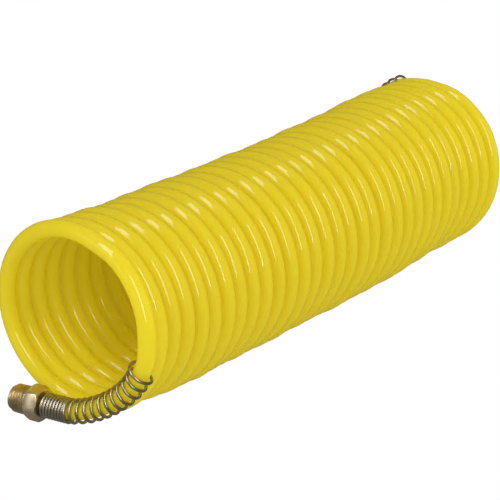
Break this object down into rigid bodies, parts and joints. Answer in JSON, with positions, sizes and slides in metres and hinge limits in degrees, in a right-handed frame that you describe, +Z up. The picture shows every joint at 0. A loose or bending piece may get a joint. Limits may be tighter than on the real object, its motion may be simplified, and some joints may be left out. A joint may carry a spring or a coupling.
{
  "type": "recoil air hose",
  "caption": "Yellow nylon recoil air hose, coiled along its own axis, with wire bend guards and swivelling brass male pipe fittings on both ends.",
  "frame": {"origin": "on the floor, under the middle of the coil's box", "axes": "+X along the coil's axis towards the far end, +Z up, +Y the way the near fitting points"},
  "size_m": [0.3471, 0.0986, 0.0986],
  "materials": {
    "nylon": "glossy translucent yellow",
    "plated_steel": "bright plated spring wire",
    "brass": "machined, slightly dull",
    "rubber": "black",
    "washer": "off-white",
    "ring_steel": "dark spring steel"
  },
  "bodies": {
    "near_end": {"hose_coil": "nylon", "near_hose_tail": "nylon", "near_spring_guard": "plated_steel", "near_ferrule": "brass", "near_stem": "brass", "near_o_ring": "rubber", "near_thrust_washer": "washer", "near_snap_ring": "ring_steel"},
    "near_swivel": {"near_swivel_body": "brass"},
    "far_end": {"far_hose_tail": "nylon", "far_spring_guard": "plated_steel", "far_ferrule": "brass", "far_stem": "brass", "far_o_ring": "rubber", "far_thrust_washer": "washer", "far_snap_ring": "ring_steel"},
    "far_swivel": {"far_swivel_body": "brass"}
  },
  "joints": [
    {"name": "coil_stretch", "type": "slide", "parent": "near_end", "child": "far_end", "axis": [1, 0, 0], "range_m": [0, 0.9], "stiffness_N_per_m": 2.4, "deforming": ["hose_coil"]},
    {"name": "near_swivel_turn", "type": "hinge", "parent": "near_end", "child": "near_swivel", "pos_m": [-0.16475, 0.01654, 0.0111], "axis": [-0.1392, 0.9903, 0], "continuous": true},
    {"name": "far_swivel_turn", "type": "hinge", "parent": "far_end", "child": "far_swivel", "pos_m": [0.16475, 0.0415, 0.03197], "axis": [0.1392, 0, -0.9903], "continuous": true}
  ]
}
